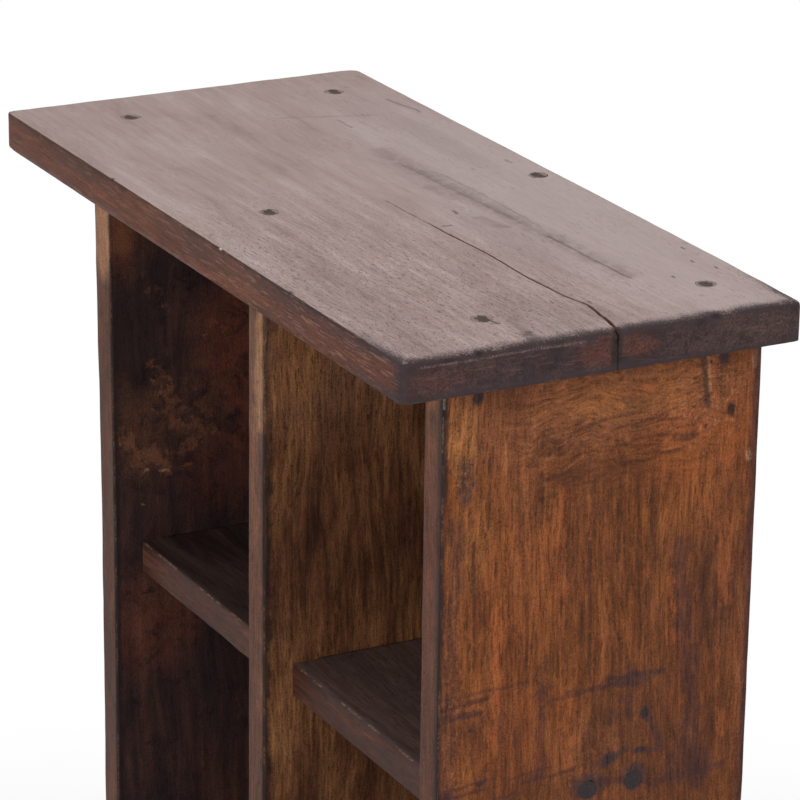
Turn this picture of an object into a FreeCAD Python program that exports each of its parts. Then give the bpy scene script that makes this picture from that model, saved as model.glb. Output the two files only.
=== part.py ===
import FreeCAD, Part
import math
import os

os.makedirs("parts", exist_ok=True)

# All lengths are in millimetres. X runs along the width, the open front faces -Y and Z is up.
# The origin lies under the middle of the shelf, on the plane that it stands on.

# Compartments: two columns of open bays, one above the other
rows = 6
bay_width = 133.5
first_bay_height = 173.0
lower_bay_height = 154.0

# Boards
board_thickness = 16.0
front_overhang = 30.5
side_overhang = 25.0
upright_thickness = 15.0
upright_depth = 135.5
shelf_thickness = 15.0
shelf_setback = 13.0
back_thickness = 12.0

# Eased edges: rounded corners, and a small bevel round the top and the base
board_corner_radius = 3.0
board_bevel = 1.0
upright_arris_radius = 1.2
shelf_arris_radius = 1.5

# Stopped housings: the shelf ends slide into grooves that stop short of the front
housing_depth = 4.0
housing_stop = 12.0
fit_gap = 0.2

# Screws that hold the top and the base to the uprights
board_screw_head = 8.0
board_screw_shank = 4.0
board_screw_length = 50.0
board_plug_depth = 5.0
# Each upright has two: share of its depth to the front one, to the rear one, and share of its
# thickness by which the row strays from the middle. The rows were drilled by hand.
left_row_shares = (0.10, 0.81, -0.15)
middle_row_shares = (0.05, 0.94, -0.15)
right_row_shares = (0.14, 0.84, 0.0)

# Screws through the outer sides into the ends of the shelves
shelf_screw_head = 7.4
shelf_screw_shank = 3.4
shelf_screw_length = 38.0
shelf_plug_depth = 4.0
shelf_screw_drop = 4.5
shelf_screw_shares = (0.48, 0.63)

# Clearances round every screw and plug, and how far a plug lies below the surface
screw_gap = 0.1
plug_gap = 0.1
plug_sink = 0.3
point_share = 1.5
screw_sides = 12
nail_sides = 8

# Nails through the back boards into the rear edges of the shelves
nail_head = 4.6
nail_head_thickness = 0.9
nail_shank = 1.9
nail_length = 35.0
nail_sink = 0.2
nail_shares = (0.22, 0.78)

# Drills and cutters start this far outside the surface that they cut
overrun = 1.0

# Sizes that follow from the ones above
board_depth = front_overhang + upright_depth
upright_spacing = bay_width + upright_thickness
board_width = 2 * (upright_spacing + upright_thickness / 2 + side_overhang)
shelf_pitch = shelf_thickness + lower_bay_height
upright_height = first_bay_height + (rows - 1) * shelf_pitch
total_height = upright_height + 2 * board_thickness

board_front = -board_depth / 2
board_back = board_depth / 2
upright_front = board_back - upright_depth
shelf_front = upright_front + shelf_setback
back_front = board_back - back_thickness
upright_bottom = board_thickness
upright_top = upright_bottom + upright_height

upright_centres = {"left": -upright_spacing, "middle": 0.0, "right": upright_spacing}
row_shares = {"left": left_row_shares, "middle": middle_row_shares, "right": right_row_shares}
# The first shelf is the highest one
shelf_tops = [upright_top - first_bay_height - level * shelf_pitch for level in range(rows - 1)]

down = FreeCAD.Vector(0, 0, -1)
up = FreeCAD.Vector(0, 0, 1)
to_left = FreeCAD.Vector(-1, 0, 0)
to_right = FreeCAD.Vector(1, 0, 0)
to_front = FreeCAD.Vector(0, -1, 0)


def block(x_low, x_high, y_low, y_high, z_low, z_high):
    """A plain board between its two opposite corners."""
    corner = FreeCAD.Vector(x_low, y_low, z_low)
    return Part.makeBox(x_high - x_low, y_high - y_low, z_high - z_low, corner)


def straight_edges(shape, direction):
    """The straight edges of a board that run along one axis."""
    found = []
    for edge in shape.Edges:
        if len(edge.Vertexes) == 2 and isinstance(edge.Curve, Part.Line):
            if abs(abs(edge.tangentAt(edge.FirstParameter).dot(direction)) - 1) < 1e-6:
                found.append(edge)
    return found


def edges_at_height(shape, height):
    """The edges round the face that lies at one height."""
    level = [edge for edge in shape.Edges if edge.BoundBox.ZLength < 1e-6]
    return [edge for edge in level if abs(edge.BoundBox.ZMin - height) < 1e-6]


def turned(half_outline, sides):
    """A many-sided solid about Z: half of its outline is (radius, height) pairs from top to foot."""
    faces = []
    for corner in range(sides):
        turns = (2 * math.pi * corner / sides, 2 * math.pi * (corner + 1) / sides)
        for (radius_above, above), (radius_below, below) in zip(half_outline, half_outline[1:]):
            points = []
            for radius, height, turn in (
                (radius_above, above, turns[0]),
                (radius_below, below, turns[0]),
                (radius_below, below, turns[1]),
                (radius_above, above, turns[1]),
            ):
                point = FreeCAD.Vector(radius * math.cos(turn), radius * math.sin(turn), height)
                if point not in points:
                    points.append(point)
            faces.append(Part.Face(Part.makePolygon(points + [points[0]])))
    return Part.makeSolid(Part.makeShell(faces))


def aimed(shape, start, direction):
    """Moves a shape that points down from the origin to its start and turns it along a direction."""
    placed = shape.copy()
    placed.Placement = FreeCAD.Placement(start, FreeCAD.Rotation(down, direction))
    return placed


def drilled(shape, drills):
    """Cuts every drill that reaches this shape out of it."""
    reaching = [drill for drill in drills if drill.BoundBox.intersect(shape.BoundBox)]
    return shape.cut(reaching) if reaching else shape


def screw(head, shank, length):
    """A countersunk wood screw that points down, its head's flat top at the origin."""
    head_radius = head / 2
    shank_radius = shank / 2
    point_start = -(length - point_share * shank)
    return turned([
        (0, 0),
        (head_radius, 0),
        (shank_radius, shank_radius - head_radius),
        (shank_radius, point_start),
        (0, -length),
    ], screw_sides)


def screw_drill(head, shank, length, plug_depth):
    """The hole for a screw: bore for the plug, countersink and pilot hole."""
    bore_radius = head / 2 + screw_gap
    pilot_radius = shank / 2 + screw_gap
    return turned([
        (0, overrun),
        (bore_radius, overrun),
        (bore_radius, -plug_depth),
        (pilot_radius, -plug_depth + pilot_radius - bore_radius),
        (pilot_radius, -plug_depth - length - screw_gap),
        (0, -plug_depth - length - screw_gap),
    ], screw_sides)


def plug(head, plug_depth):
    """The filler over a screw head, sunk a little below the wood."""
    radius = head / 2 + screw_gap - plug_gap
    return turned([
        (0, -plug_sink),
        (radius, -plug_sink),
        (radius, -plug_depth),
        (0, -plug_depth),
    ], screw_sides)


def nail():
    """A round nail with a flat head, pointing down."""
    head_radius = nail_head / 2
    shank_radius = nail_shank / 2
    return turned([
        (0, -nail_sink),
        (head_radius, -nail_sink),
        (head_radius, -nail_sink - nail_head_thickness),
        (shank_radius, -nail_sink - nail_head_thickness),
        (shank_radius, -nail_length + point_share * nail_shank),
        (0, -nail_length),
    ], nail_sides)


def nail_drill():
    """The hole that a nail has made for itself, with its let-in head."""
    head_radius = nail_head / 2 + screw_gap
    shank_radius = nail_shank / 2 + screw_gap
    return turned([
        (0, overrun),
        (head_radius, overrun),
        (head_radius, -nail_sink - nail_head_thickness),
        (shank_radius, -nail_sink - nail_head_thickness),
        (shank_radius, -nail_length - screw_gap),
        (0, -nail_length - screw_gap),
    ], nail_sides)


def board_screw_starts(height):
    """Where the screws enter the top or the base: two over each upright."""
    starts = []
    for name, centre in upright_centres.items():
        front_share, rear_share, stray_share = row_shares[name]
        x = centre + stray_share * upright_thickness
        for share in (front_share, rear_share):
            starts.append(FreeCAD.Vector(x, upright_front + share * upright_depth, height))
    return starts


def shelf_screw_starts(face):
    """Where the screws enter one outer side: two at the end of each shelf."""
    starts = []
    for top in shelf_tops:
        for share in shelf_screw_shares:
            y = upright_front + share * upright_depth
            starts.append(FreeCAD.Vector(face, y, top - shelf_screw_drop))
    return starts


def nail_starts(bay_low):
    """Where the nails enter one back board: two into each shelf."""
    starts = []
    for top in shelf_tops:
        for share in nail_shares:
            x = bay_low + share * bay_width
            starts.append(FreeCAD.Vector(x, board_back, top - shelf_thickness / 2))
    return starts


def wide_board(bottom, drills):
    """The top or the base: rounded corners, eased arrises and its screw holes."""
    top = bottom + board_thickness
    shape = block(-board_width / 2, board_width / 2, board_front, board_back, bottom, top)
    shape = shape.makeFillet(board_corner_radius, straight_edges(shape, up))
    rims = edges_at_height(shape, bottom) + edges_at_height(shape, top)
    shape = shape.makeChamfer(board_bevel, rims)
    return drilled(shape, drills)


def upright(centre, housed_sides, drills):
    """A side or the divider, with a stopped housing for each shelf on its housed faces."""
    low = centre - upright_thickness / 2
    high = centre + upright_thickness / 2
    shape = block(low, high, upright_front, board_back, upright_bottom, upright_top)
    shape = shape.makeFillet(upright_arris_radius, straight_edges(shape, up))
    housings = []
    for side in housed_sides:
        face = centre + side * upright_thickness / 2
        inside = face - side * housing_depth
        outside = face + side * overrun
        for top in shelf_tops:
            housings.append(block(
                min(inside, outside), max(inside, outside),
                shelf_front + housing_stop, back_front,
                top - shelf_thickness, top + fit_gap,
            ))
    return drilled(shape.cut(housings), drills)


def shelf(bay_low, top, drills):
    """A shelf with a tongue at each end and plain shoulders that hide the housings in front."""
    bay_high = bay_low + bay_width
    tongue = housing_depth - fit_gap
    shoulder = shelf_front + housing_stop + fit_gap
    bottom = top - shelf_thickness
    outline = [
        (bay_low, shelf_front),
        (bay_high, shelf_front),
        (bay_high, shoulder),
        (bay_high + tongue, shoulder),
        (bay_high + tongue, back_front),
        (bay_low - tongue, back_front),
        (bay_low - tongue, shoulder),
        (bay_low, shoulder),
    ]
    points = [FreeCAD.Vector(x, y, bottom) for x, y in outline]
    face = Part.Face(Part.makePolygon(points + [points[0]]))
    shape = face.extrude(FreeCAD.Vector(0, 0, shelf_thickness))
    front_arrises = [edge for edge in straight_edges(shape, to_right) if edge.BoundBox.YMax < shoulder]
    shape = shape.makeFillet(shelf_arris_radius, front_arrises)
    return drilled(shape, drills)


def back_board(bay_low, drills):
    """A back board let in between two uprights, flush with their rear edges."""
    shape = block(
        bay_low + fit_gap, bay_low + bay_width - fit_gap,
        back_front, board_back,
        upright_bottom, upright_top - fit_gap,
    )
    return drilled(shape, drills)


def write(name, shapes):
    """Writes one sub-part, which may be a group of separate solids."""
    shape = shapes[0] if len(shapes) == 1 else Part.makeCompound(shapes)
    shape.exportStep("parts/" + name + ".step")


def placed_along(shape, starts, direction):
    """One copy of a fastener at each of its starts."""
    return [aimed(shape, start, direction) for start in starts]


# Fasteners and the drills that make room for them
board_screw = screw(board_screw_head, board_screw_shank, board_screw_length)
board_drill = screw_drill(board_screw_head, board_screw_shank, board_screw_length, board_plug_depth)
board_plug = plug(board_screw_head, board_plug_depth)
shelf_screw = screw(shelf_screw_head, shelf_screw_shank, shelf_screw_length)
shelf_drill = screw_drill(shelf_screw_head, shelf_screw_shank, shelf_screw_length, shelf_plug_depth)
shelf_plug = plug(shelf_screw_head, shelf_plug_depth)

outer_face = upright_spacing + upright_thickness / 2
top_starts = board_screw_starts(total_height)
base_starts = board_screw_starts(0)
side_starts = {"left": shelf_screw_starts(-outer_face), "right": shelf_screw_starts(outer_face)}
side_inward = {"left": to_right, "right": to_left}
bay_lows = {"left": upright_thickness / 2 - upright_spacing, "right": upright_thickness / 2}

top_drills = placed_along(board_drill, top_starts, down)
base_drills = placed_along(board_drill, base_starts, up)
board_drills = top_drills + base_drills

# Top, base and uprights
write("top_board", [wide_board(total_height - board_thickness, top_drills)])
write("base_board", [wide_board(0, base_drills)])
write("divider", [upright(upright_centres["middle"], (-1, 1), board_drills)])
write("top_screws", [aimed(board_screw, start + board_plug_depth * down, down) for start in top_starts])
write("base_screws", [aimed(board_screw, start + board_plug_depth * up, up) for start in base_starts])
write("top_plugs", placed_along(board_plug, top_starts, down))

# Each column: its side, shelves, back board and their fasteners
for column, housed_side in (("left", 1), ("right", -1)):
    inward = side_inward[column]
    starts = side_starts[column]
    side_drills = placed_along(shelf_drill, starts, inward)
    nails = nail_starts(bay_lows[column])
    nail_drills = placed_along(nail_drill(), nails, to_front)
    write(column + "_side", [upright(upright_centres[column], (housed_side,), board_drills + side_drills)])
    for number, top in enumerate(shelf_tops, start=1):
        name = column + "_shelf_" + str(number)
        write(name, [shelf(bay_lows[column], top, side_drills + nail_drills)])
    write(column + "_back", [back_board(bay_lows[column], nail_drills)])
    sunk = shelf_plug_depth * inward
    write(column + "_shelf_screws", [aimed(shelf_screw, start + sunk, inward) for start in starts])
    write(column + "_side_plugs", placed_along(shelf_plug, starts, inward))
    write(column + "_back_nails", placed_along(nail(), nails, to_front))
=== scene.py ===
import math

import bmesh
import bpy
from mathutils import Matrix, Vector, noise


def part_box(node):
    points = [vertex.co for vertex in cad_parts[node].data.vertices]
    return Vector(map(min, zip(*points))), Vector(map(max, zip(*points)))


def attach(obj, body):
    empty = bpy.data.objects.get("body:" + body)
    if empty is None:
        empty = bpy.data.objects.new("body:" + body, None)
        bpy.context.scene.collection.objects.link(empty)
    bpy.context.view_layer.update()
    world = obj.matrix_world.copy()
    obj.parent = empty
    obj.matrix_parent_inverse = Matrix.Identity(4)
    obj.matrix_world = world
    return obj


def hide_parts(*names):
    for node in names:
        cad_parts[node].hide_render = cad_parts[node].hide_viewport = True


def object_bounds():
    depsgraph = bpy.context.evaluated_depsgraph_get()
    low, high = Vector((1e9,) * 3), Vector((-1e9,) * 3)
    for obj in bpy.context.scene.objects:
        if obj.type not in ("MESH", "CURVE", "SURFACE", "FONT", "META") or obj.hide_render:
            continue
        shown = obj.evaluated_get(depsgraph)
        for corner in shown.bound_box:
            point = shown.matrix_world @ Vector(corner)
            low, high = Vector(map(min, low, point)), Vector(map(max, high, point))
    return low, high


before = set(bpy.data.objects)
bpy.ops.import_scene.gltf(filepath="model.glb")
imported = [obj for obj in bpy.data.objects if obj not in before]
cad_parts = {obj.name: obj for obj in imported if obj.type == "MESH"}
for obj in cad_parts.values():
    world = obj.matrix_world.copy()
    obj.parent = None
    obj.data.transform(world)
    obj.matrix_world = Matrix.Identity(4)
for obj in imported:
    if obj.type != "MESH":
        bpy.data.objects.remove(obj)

cad_low, cad_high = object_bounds()
mm = 0.001
tiny = 0.01 * mm

# Camera: angles in degrees round the top's near corner, lengths in metres, lens in millimetres
camera_azimuth = 62.194
camera_elevation = 19.626
camera_roll = 0.772
camera_distance = 1.4063
camera_slide = -0.0004
camera_lift = -0.0125
camera_lens = 181.56

# Floor and light
floor_radius = 12.0
floor_fade = (0.9, 1.9)
lamp_reach = 2.6
lamp_aim = Vector((0, 0, 0.6))
sky_level = 0.62

# Grid of cuts: its step along and across the grain, and the finer cuts beside every arris
cut_steps = {"board": (3.0 * mm, 2.4 * mm), "upright": (6.0 * mm, 2.4 * mm), "shelf": (4.0 * mm, 3.0 * mm),
             "back": (10.0 * mm, 4.0 * mm)}
arris_cuts = (0.35 * mm, 0.9 * mm, 1.6 * mm, 2.6 * mm, 4.2 * mm)

# Edges as they have worn
corner_radii = {(1, -1): 3.0 * mm, (1, 1): 2.0 * mm, (-1, 1): 4.5 * mm, (-1, -1): 3.0 * mm}
rim_radius = 0.9 * mm
worn_rim_radius = 2.2 * mm
upright_arris = 1.1 * mm
shelf_arris = 1.9 * mm
smooth_angle = math.radians(38)

# The waver of a face: how deep, and how long and wide its waves are on each kind of piece
waver_depth = 0.2 * mm
board_waves = (60 * mm, 12 * mm, 12 * mm)
upright_waves = (12 * mm, 12 * mm, 70 * mm)
shelf_waves = (50 * mm, 12 * mm, 12 * mm)
back_waves = (14 * mm, 14 * mm, 80 * mm)

# Screw holes and nails. The hole's rim and its crater are told in radii of the hole.
hole_rim = (0.86, 1.16)
crater_reach = (0.9, 1.9)
disc_sides = 40
filler_hollow = 0.16 * mm
filler_lumps = 0.06 * mm
bruise_reach = (2 * mm, 5.5 * mm)
bruise_depth = 0.25 * mm

# How far the front of the left side has cast outwards at its top, and where that begins
cast_depth = 3.4 * mm
cast_start = 0.85

# The split in the top: its route from the right end to where it closes, and its size at the end
split_route = [(180, 5.0), (166, 7.2), (152, 9.0), (138, 6.4), (113, 5.1), (82, 5.8), (49, 4.0), (15, 2.8),
               (3, 2.5)]
split_depth = 2.6 * mm
split_width = 0.65 * mm
split_cuts = (0.0, 0.22 * mm, 0.5 * mm, 0.9 * mm, 1.5 * mm)
split_reach = 14.0 * mm

# Knocks on the top's upper rim, in millimetres. At the right end: place, how far below the rim, reach, depth.
# Along the front: place, reach, depth.
end_knocks = [(4.6, 0, 2.6, 1.3), (4.4, 5, 1.8, 0.9), (-14, 0, 2.4, 0.5), (-52, 0, 3.5, 0.4),
              (46, 0, 4.0, 0.5)]
front_knocks = [(33, 1.6, 0.5), (92, 3.0, 0.4), (-70, 2.5, 0.4)]

# Grain runs along X in its node group; this turns it upright. The dust is rubbed off round the near spot.
upright_turn = (0, math.radians(90), 0)
near_spot, near_reach = (0.15, -0.07, 1.05), (0.17, 0.10, 0.02)


def clamp(value, low, high):
    """A value kept between two others."""
    return min(max(value, low), high)


def smooth_share(value, low, high):
    """How far a value has come from low to high, eased at both ends."""
    share = clamp((value - low) / (high - low), 0.0, 1.0)
    return share * share * (3 - 2 * share)


def rough(point, size, seed=0.0):
    """Smooth noise from -1 to 1 whose bumps are about the given size; size may differ along each axis."""
    sizes = size if hasattr(size, "__len__") else (size, size, size)
    return noise.noise(Vector([point[axis] / sizes[axis] + seed for axis in range(3)]))


# Shapes

def merged_copy(node):
    """The shape of a node as a clean mesh, its doubles merged and its flat faces joined."""
    bm = bmesh.new()
    bm.from_mesh(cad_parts[node].data)
    bmesh.ops.remove_doubles(bm, verts=bm.verts, dist=tiny / 10)
    bmesh.ops.dissolve_limit(bm, angle_limit=0.002, verts=bm.verts, edges=bm.edges, delimit={"NORMAL"})
    return bm


def solids_of(node):
    """The lowest and highest corner of each separate solid in a node."""
    bm = merged_copy(node)
    left = set(bm.verts)
    boxes = []
    while left:
        found = [left.pop()]
        for vert in found:
            for edge in vert.link_edges:
                other = edge.other_vert(vert)
                if other in left:
                    left.remove(other)
                    found.append(other)
        low = Vector([min(vert.co[axis] for vert in found) for axis in range(3)])
        high = Vector([max(vert.co[axis] for vert in found) for axis in range(3)])
        boxes.append((low, high))
    bm.free()
    return sorted(boxes, key=lambda box: tuple(round(value, 5) for value in box[0]))


def cut(bm, axis, places):
    """Cuts a mesh by planes that lie square to one axis."""
    normal = Vector([float(axis == other) for other in range(3)])
    for place in places:
        everything = bm.verts[:] + bm.edges[:] + bm.faces[:]
        bmesh.ops.bisect_plane(bm, geom=everything, dist=tiny / 10, plane_co=normal * place, plane_no=normal)


def places_between(low, high, step, fine):
    """Where to cut between two faces: in even steps, with the fine cuts beside both faces."""
    count = max(1, round((high - low) / step))
    even = [low + (high - low) * number / count for number in range(1, count)]
    margin = max(fine, default=0) * 1.15
    even = [place for place in even if margin < place - low and margin < high - place]
    return sorted(even + [low + gap for gap in fine] + [high - gap for gap in fine])


def gridded(node, kind, grain, extra=()):
    """A copy of a board cut into a grid, fine enough to be worn.

    It remembers how far each point is from an arris, and which points lie in pits.
    """
    bm = merged_copy(node)
    low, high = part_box(node)
    along, across = cut_steps[kind]
    for axis in sorted(range(3), key=lambda axis: high[axis] - low[axis]):
        step = along if axis == grain else across
        fine = () if axis == grain and kind != "board" else arris_cuts
        places = places_between(low[axis], high[axis], step, fine)
        cut(bm, axis, places + [place for other, place in extra if other == axis])
    arris = bm.verts.layers.float.new("arris")
    bm.verts.layers.float.new("pit")
    for vert in bm.verts:
        gaps = sorted(min(vert.co[axis] - low[axis], high[axis] - vert.co[axis]) for axis in range(3))
        vert[arris] = gaps[1] / mm
    return bm, low, high


def ease_arrises(bm, low, high, across, radius_at, keep=None):
    """Rounds the four arrises of a board that lie square to the two given axes."""
    first, second = across
    for vert in bm.verts:
        if keep and not keep(vert.co):
            continue
        radius = radius_at(vert.co)
        core = [clamp(vert.co[axis], low[axis] + radius, high[axis] - radius) for axis in across]
        away = Vector((vert.co[first] - core[0], vert.co[second] - core[1]))
        if abs(away.x) > tiny and abs(away.y) > tiny:
            away = away.normalized() * radius
            vert.co[first] = core[0] + away.x
            vert.co[second] = core[1] + away.y


def corner_radius(point):
    """The radius of the board corner nearest to a point."""
    return corner_radii[(1 if point.x > 0 else -1, 1 if point.y > 0 else -1)]


def plan_inset(point, low, high, corner):
    """How far a point lies inside a plan with rounded corners, and which way is out."""
    core = Vector([clamp(point[axis], low[axis] + corner, high[axis] - corner) for axis in (0, 1)])
    away = Vector((point[0], point[1])) - core
    if abs(away.x) > tiny and abs(away.y) > tiny:
        return corner - away.length, away.normalized()
    sides = [
        (point.x - low.x, (-1, 0)), (high.x - point.x, (1, 0)),
        (point.y - low.y, (0, -1)), (high.y - point.y, (0, 1)),
    ]
    inset, outward = min(sides)
    return inset, Vector(outward)


def ease_rims(bm, low, high, radius_at):
    """Rounds the rims of the upper and the lower face of a board with rounded corners."""
    for vert in bm.verts:
        radius = radius_at(vert.co)
        inset, outward = plan_inset(vert.co, low, high, corner_radius(vert.co))
        for level, side in ((high.z, 1), (low.z, -1)):
            drop = (level - vert.co.z) * side
            away = Vector((radius - inset, radius - drop))
            if away.x > tiny and away.y > tiny:
                away = away.normalized() * radius
                shift = outward * (inset - (radius - away.x))
                vert.co.x += shift.x
                vert.co.y += shift.y
                vert.co.z = level - side * (radius - away.y)


def waver(bm, sizes, seed):
    """Sinks the faces unevenly, as planing by hand and wear leave them; nothing comes to stand proud."""
    lows, highs = ([pick(vert.co[axis] for vert in bm.verts) for axis in range(3)] for pick in (min, max))
    bm.normal_update()
    sunk = []
    for vert in bm.verts:
        share = 0.5 + 0.5 * rough(vert.co, sizes, seed)
        small = 0.5 + 0.5 * rough(vert.co, [size / 5 for size in sizes], seed + 7)
        sunk.append((vert, vert.normal * waver_depth * (0.8 * share + 0.2 * small)))
    for vert, shift in sunk:
        moved = vert.co - shift
        vert.co = [clamp(moved[axis], lows[axis], highs[axis]) for axis in range(3)]


def near_verts(bm, centre, reach):
    """The points of a mesh within reach of a place."""
    x, y, z = centre
    close = [vert for vert in bm.verts if abs(vert.co.z - z) < reach]
    return [vert for vert in close if abs(vert.co.x - x) < reach and abs(vert.co.y - y) < reach]


def dent(bm, centre, reach, depth, inward):
    """Presses a soft hollow into a face and marks it as a place where dirt collects."""
    pit = bm.verts.layers.float["pit"]
    for vert in near_verts(bm, centre, reach):
        gap = (vert.co - centre).length / reach
        if gap < 1:
            share = (1 - gap * gap) ** 2
            vert.co += inward * depth * share
            vert[pit] = max(vert[pit], share)


def refine(bm, centre, reach):
    """Cuts the faces near a point finer."""
    near = {vert for vert in near_verts(bm, centre, reach) if (vert.co - centre).length < reach}
    edges = {edge for vert in near for edge in vert.link_edges if edge.other_vert(vert) in near}
    edges = sorted(edges, key=lambda edge: edge.index)
    bmesh.ops.subdivide_edges(bm, edges=edges, cuts=1, use_grid_fill=True)


def hole_radius(radius, turn, seed):
    """The radius of a worn screw hole in one direction."""
    wave = noise.noise(Vector((math.cos(turn) * 1.1, math.sin(turn) * 1.1, seed)))
    return radius * (1 + 0.10 * wave)


def wear_hole(bm, centre, radius, axis, side, seed, crater, soil):
    """Rounds a screw hole, frays its rim and hollows and soils the wood around it."""
    pit = bm.verts.layers.float["pit"]
    first, second = [other for other in range(3) if other != axis]
    refine(bm, centre, radius * 2.0)
    for vert in near_verts(bm, centre, 3 * radius):
        offset = Vector((vert.co[first] - centre[first], vert.co[second] - centre[second]))
        gap = offset.length
        depth = abs(vert.co[axis] - centre[axis])
        turn = math.atan2(offset.y, offset.x)
        if hole_rim[0] * radius < gap < hole_rim[1] * radius:
            offset = offset.normalized() * hole_radius(radius, turn, seed)
            vert.co[first] = centre[first] + offset.x
            vert.co[second] = centre[second] + offset.y
            gap = radius
        if depth < 1 * mm:
            share = 1 - smooth_share(gap, crater_reach[0] * radius, crater_reach[1] * radius)
            vert.co[axis] -= side * crater * share
            vert[pit] = max(vert[pit], soil * share)


def new_object(name, data):
    """An object put into the scene."""
    piece = bpy.data.objects.new(name, data)
    bpy.context.scene.collection.objects.link(piece)
    return piece


def finished(name, bm, nodes, material):
    """Turns a worked mesh into a piece that stands for its nodes."""
    bmesh.ops.recalc_face_normals(bm, faces=bm.faces)
    mesh = bpy.data.meshes.new(name)
    bm.to_mesh(mesh)
    bm.free()
    mesh.materials.append(material)
    mesh.polygons.foreach_set("use_smooth", [True] * len(mesh.polygons))
    mesh.set_sharp_from_angle(angle=smooth_angle)
    piece = new_object(name, mesh)
    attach(piece, "root")
    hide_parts(*nodes)
    return piece


def split_place(x):
    """Where the split lies across the top at a place along it."""
    for (x_high, y_high), (x_low, y_low) in zip(split_route, split_route[1:]):
        if x >= x_low * mm:
            share = smooth_share(x, x_low * mm, x_high * mm)
            return (y_low + (y_high - y_low) * share) * mm
    return split_route[-1][1] * mm


def open_split(bm, high):
    """Bends the fine cuts along the split and presses them in, on the upper face and down the right end."""
    pit = bm.verts.layers.float["pit"]
    start = split_route[0][1] * mm
    closed = split_route[-1][0] * mm
    for vert in bm.verts:
        gap = vert.co.y - start
        if abs(gap) < split_reach:
            pull = 1 - smooth_share(abs(gap), 0.15 * split_reach, split_reach)
            vert.co.y += (split_place(vert.co.x) - start) * pull
        x = vert.co.x
        opened = 0.3 * smooth_share(x, closed, 60 * mm) + 0.7 * smooth_share(x, 110 * mm, high.x)
        width = split_width * (0.3 + 0.7 * opened) * (1 + 0.3 * rough(vert.co, 5 * mm, 3))
        share = 1 - smooth_share(abs(gap), 0.25 * width, width)
        if share <= 0:
            continue
        if high.z - vert.co.z < 4 * mm:
            vert.co.z -= split_depth * opened * share
        if high.x - vert.co.x < 4 * mm:
            fade = 0.35 + 0.65 * smooth_share(vert.co.z, high.z - 11 * mm, high.z - 2 * mm)
            vert.co.x -= 0.55 * split_depth * share * fade
            opened = max(opened, fade)
        vert[pit] = max(vert[pit], share * min(1.0, 3 * opened))


def top_rim(point):
    """The rim of the top: crisp along the front, worn below the left end and round the upper right end."""
    right = smooth_share(point.x, 120 * mm, 172 * mm) * smooth_share(point.z, 1.036, 1.044)
    left = 0.7 * smooth_share(-point.x, 173 * mm, 179 * mm) * (1 - smooth_share(point.z, 1.038, 1.046))
    radius = rim_radius + (worn_rim_radius - rim_radius) * max(left, right)
    return radius * (1 + 0.25 * rough(point, 9 * mm, 2) + 0.12 * rough(point, 2.5 * mm, 5))


def base_rim(point):
    """The rim of the base, evenly worn."""
    return rim_radius * 1.3 * (1 + 0.3 * rough(point, 9 * mm, 11) + 0.12 * rough(point, 2.5 * mm, 12))


def plug_places(node):
    """Centre and radius of each plug in a node."""
    found = []
    for low, high in solids_of(node):
        sizes = sorted(high[axis] - low[axis] for axis in range(3))
        found.append(((low + high) / 2, sizes[2] / 2))
    return found


def top_board(material):
    """The top: split, screw holes, a few knocks and worn rims."""
    start = split_route[0][1] * mm
    extra = [(1, start + side * gap) for gap in split_cuts for side in (-1, 1) if gap or side > 0]
    bm, low, high = gridded("top_board", "board", 0, extra)
    ease_arrises(bm, low, high, (0, 1), corner_radius)
    ease_rims(bm, low, high, top_rim)
    open_split(bm, high)
    for number, (centre, radius) in enumerate(plug_places("top_plugs")):
        mouth = Vector((centre.x, centre.y, high.z))
        wear_hole(bm, mouth, radius, 2, 1, number * 3.7, crater=0.12 * mm, soil=0.3)
    for y, below, reach, depth in end_knocks:
        centre = Vector((high.x, y * mm, high.z - below * mm))
        dent(bm, centre, reach * mm, depth * mm, Vector((-1, 0, -1)).normalized())
    for x, reach, depth in front_knocks:
        centre = Vector((x * mm, low.y, high.z))
        dent(bm, centre, reach * mm, depth * mm, Vector((0, 1, -1)).normalized())
    waver(bm, board_waves, 1)
    return finished("weathered_top", bm, ["top_board"], material)


def base_board(material):
    """The base, of the same make as the top."""
    bm, low, high = gridded("base_board", "board", 0)
    ease_arrises(bm, low, high, (0, 1), corner_radius)
    ease_rims(bm, low, high, base_rim)
    waver(bm, board_waves, 21)
    return finished("weathered_base", bm, ["base_board"], material)


def cast(bm, low, high):
    """Leans the front of a side outwards towards its top, as the board has twisted."""
    for vert in bm.verts:
        forward = 1 - smooth_share(vert.co.y, low.y, 0.4 * high.y)
        share = smooth_share(vert.co.z, cast_start, high.z) * forward
        vert.co.x += math.copysign(cast_depth, low.x) * share


def upright(node, name, material, seed, plugs=None, is_cast=False):
    """A side or the divider with its long arrises worn."""
    bm, low, high = gridded(node, "upright", 2)

    def radius_at(point):
        return upright_arris * (1.25 + 0.4 * rough(point, (30 * mm, 30 * mm, 14 * mm), seed)
                                + 0.2 * rough(point, (30 * mm, 30 * mm, 3 * mm), seed))

    ease_arrises(bm, low, high, (0, 1), radius_at)
    if plugs:
        outer = high.x if low.x > 0 else low.x
        for number, (centre, radius) in enumerate(plug_places(plugs)):
            mouth, side = Vector((outer, centre.y, centre.z)), math.copysign(1, outer)
            wear_hole(bm, mouth, radius, 0, side, seed + number * 2.3, crater=0.15 * mm, soil=0.7)
    waver(bm, upright_waves, seed)
    if is_cast:
        cast(bm, low, high)
    return finished(name, bm, [node], material)


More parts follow.
